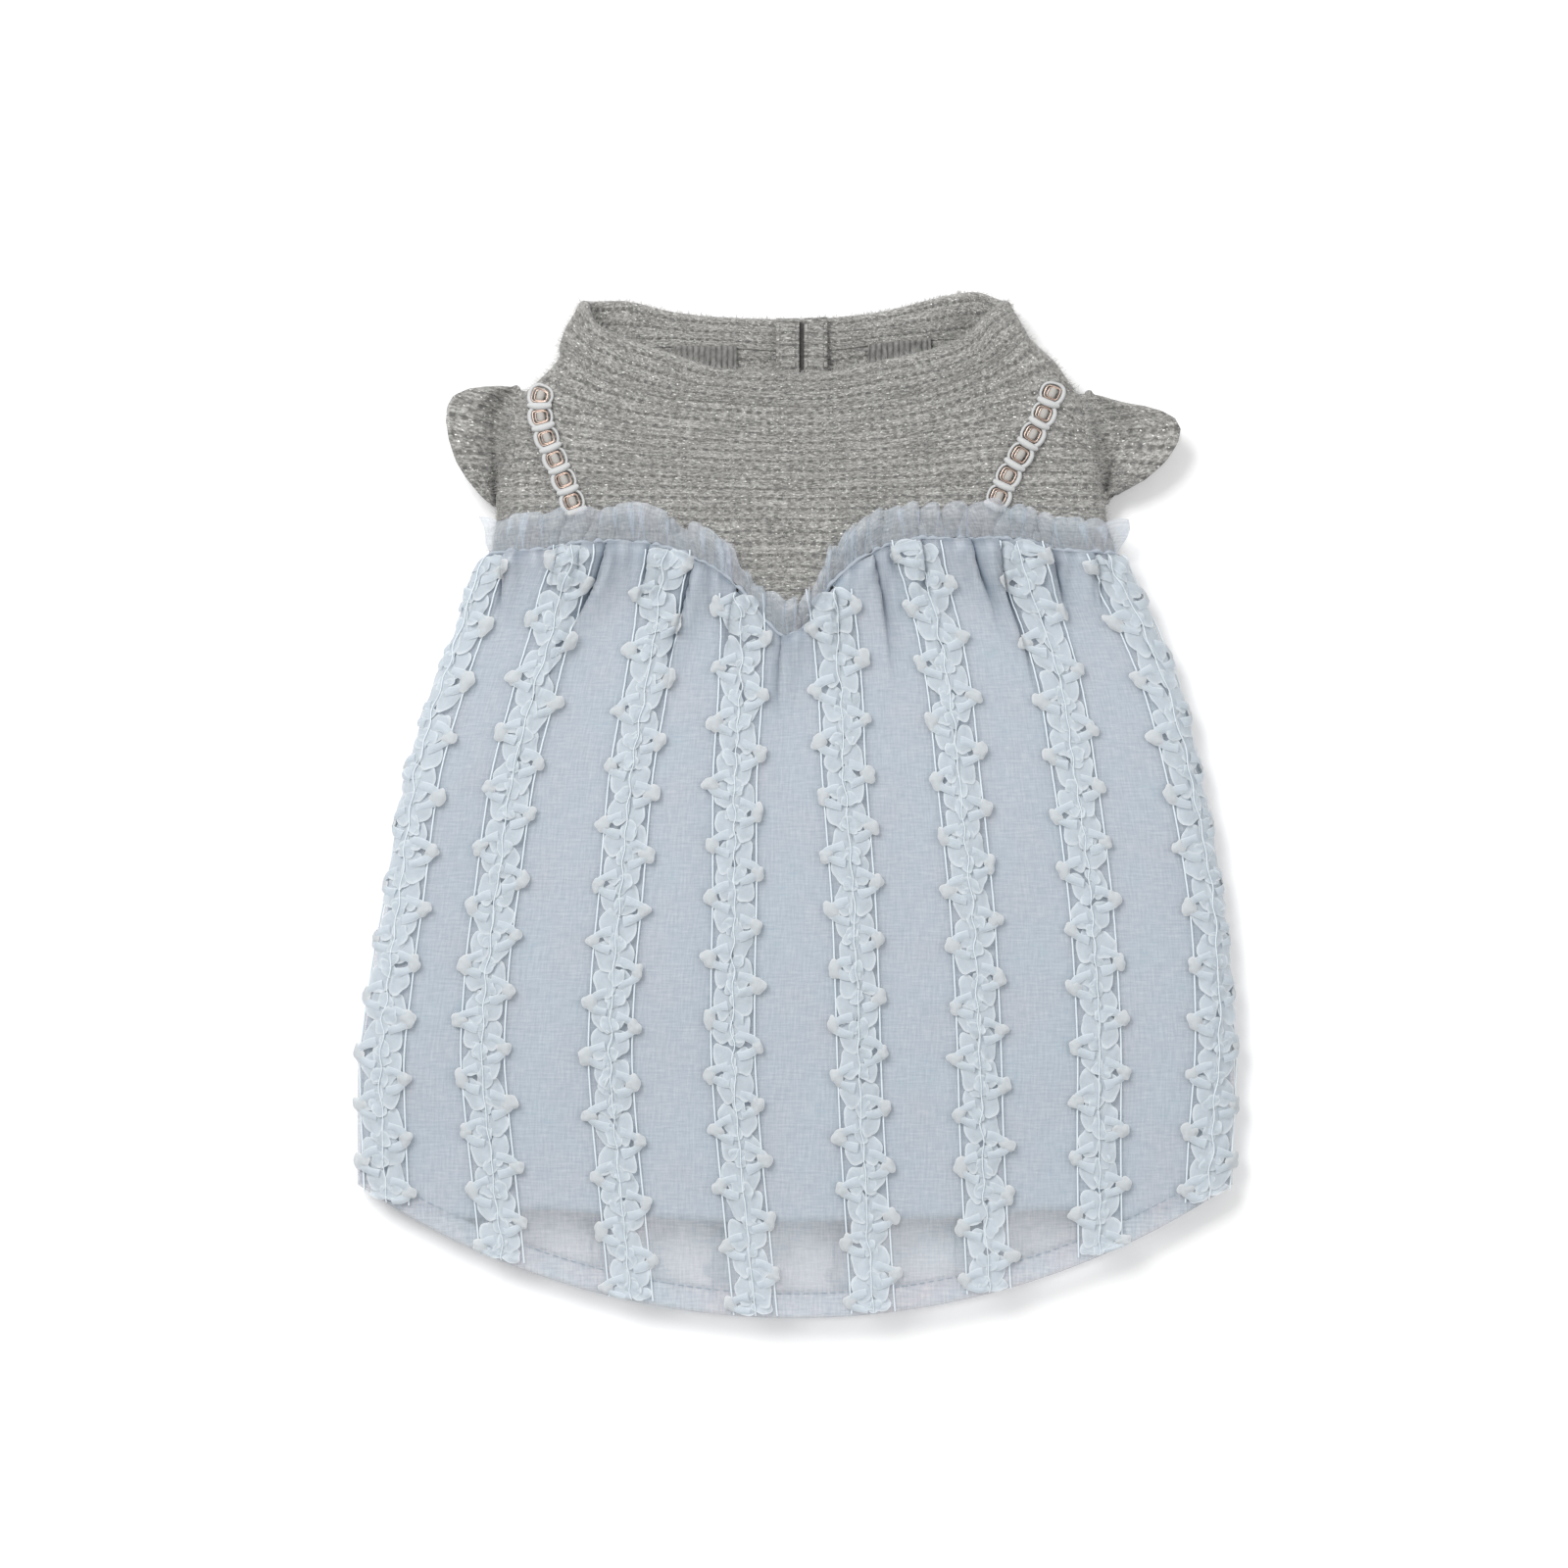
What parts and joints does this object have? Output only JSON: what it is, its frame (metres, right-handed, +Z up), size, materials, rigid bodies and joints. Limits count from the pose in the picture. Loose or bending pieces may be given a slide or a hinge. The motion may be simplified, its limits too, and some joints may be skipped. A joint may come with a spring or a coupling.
{
  "type": "small dog dress",
  "caption": "Short-sleeved dog dress lying flat, with a stand collar, braid straps and a flared skirt with ribbon bands over a lining.",
  "frame": {"origin": "on the surface it lies on, below the middle of the dress's bounding box", "axes": "+Y from the hem to the collar, +X to the right as seen from above, +Z up off the surface it lies on"},
  "size_m": [0.2462, 0.2832, 0.0201],
  "materials": {
    "knit": "heather grey sweater knit with a fine metallic thread",
    "rib_knit": "grey one-by-one rib knit",
    "tape": "dark grey woven fastening tape",
    "chiffon": "light blue slub chiffon",
    "lining": "pale blue-grey woven lining",
    "ribbon": "pale blue organza ribbon loops on thin cords",
    "braid": "off-white cord braid with rose gold wire loops"
  },
  "bodies": {
    "root": {"bodice": "knit", "collar": "knit", "sleeve_left": "knit", "sleeve_right": "knit", "placket_left": "knit", "placket_right": "knit", "rib_patch_left": "rib_knit", "rib_patch_right": "rib_knit", "closure_tape": "tape", "skirt": "chiffon", "skirt_lining": "lining", "frill": "chiffon", "strap_left": "braid", "strap_right": "braid", "band_front_1": "ribbon", "band_front_2": "ribbon", "band_front_3": "ribbon", "band_front_4": "ribbon", "band_front_5": "ribbon", "band_front_6": "ribbon", "band_front_7": "ribbon", "band_front_8": "ribbon", "band_back_1": "ribbon", "band_back_2": "ribbon", "band_back_3": "ribbon", "band_back_4": "ribbon", "band_back_5": "ribbon", "band_back_6": "ribbon"}
  },
  "joints": []
}
